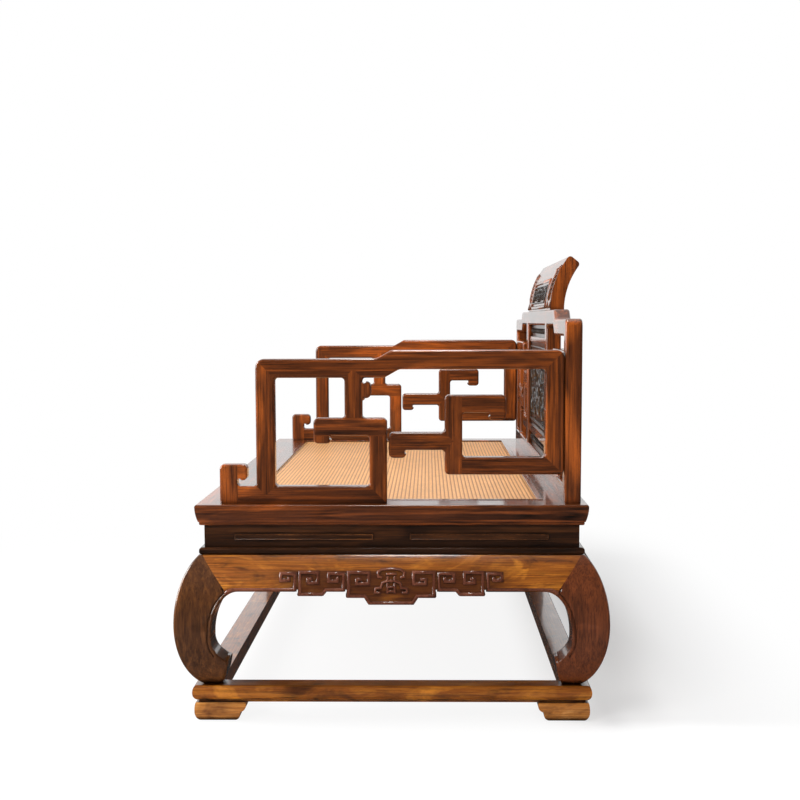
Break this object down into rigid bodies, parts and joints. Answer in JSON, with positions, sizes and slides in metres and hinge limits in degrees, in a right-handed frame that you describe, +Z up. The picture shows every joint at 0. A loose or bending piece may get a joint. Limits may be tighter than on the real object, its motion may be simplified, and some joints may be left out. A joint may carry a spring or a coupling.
{
  "type": "luohan daybed",
  "caption": "Waisted platform couch on bulging hoof-footed legs and a base frame, with a cane seat, openwork scroll arms and a stepped openwork back under a backward-curling crest",
  "frame": {"origin": "centre of the floor plan, on the floor", "axes": "X runs along the length, -Y is the front, +Y the back, +Z is up"},
  "size_m": [2.052, 0.986, 1.0782],
  "materials": {
    "rosewood": "polished red-brown rosewood under a thin clear lacquer",
    "rosewood_figured": "polished orange-brown rosewood with dark streaks along the grain",
    "rosewood_dark": "polished dark rosewood",
    "rosewood_carved": "dark polished rosewood, carved in low relief",
    "cane": "fine woven cane, clear varnished"
  },
  "bodies": {
    "root": {"apron_front": "rosewood_figured", "apron_left": "rosewood_figured", "apron_rear": "rosewood_figured", "apron_right": "rosewood_figured", "arm_front_post_left": "rosewood", "arm_front_post_right": "rosewood", "arm_front_scroll_left": "rosewood", "arm_front_scroll_right": "rosewood", "arm_link_hook_left": "rosewood", "arm_link_hook_right": "rosewood", "arm_rear_post_left": "rosewood", "arm_rear_post_right": "rosewood", "arm_rear_scroll_left": "rosewood", "arm_rear_scroll_right": "rosewood", "arm_sill_left": "rosewood", "arm_sill_right": "rosewood", "arm_top_rail_left": "rosewood", "arm_top_rail_right": "rosewood", "back_bottom_rail": "rosewood", "back_centre_rail": "rosewood", "back_inner_scroll_left": "rosewood", "back_inner_scroll_right": "rosewood", "back_lock_rails": "rosewood", "back_lower_scroll_left": "rosewood", "back_lower_scroll_right": "rosewood", "back_post_left": "rosewood", "back_post_right": "rosewood", "back_stile_left": "rosewood", "back_stile_right": "rosewood", "back_top_rail_left": "rosewood", "back_top_rail_right": "rosewood", "back_upper_hook_left": "rosewood", "back_upper_hook_right": "rosewood", "base_rail_front": "rosewood_figured", "base_rail_left": "rosewood_figured", "base_rail_rear": "rosewood_figured", "base_rail_right": "rosewood_figured", "cane_mat": "cane", "cane_strips": "rosewood", "carved_panel": "rosewood_carved", "crest_rail": "rosewood", "foot_front_left": "rosewood_figured", "foot_front_right": "rosewood_figured", "foot_rear_left": "rosewood_figured", "foot_rear_right": "rosewood_figured", "leg_front_left": "rosewood", "leg_front_right": "rosewood", "leg_rear_left": "rosewood", "leg_rear_right": "rosewood", "lower_panel": "rosewood_carved", "seat_braces": "rosewood", "seat_rail_front": "rosewood", "seat_rail_left": "rosewood", "seat_rail_rear": "rosewood", "seat_rail_right": "rosewood", "upper_panel": "rosewood_carved", "waist_front": "rosewood_dark", "waist_left": "rosewood_dark", "waist_rear": "rosewood_dark", "waist_right": "rosewood_dark"}
  },
  "joints": []
}
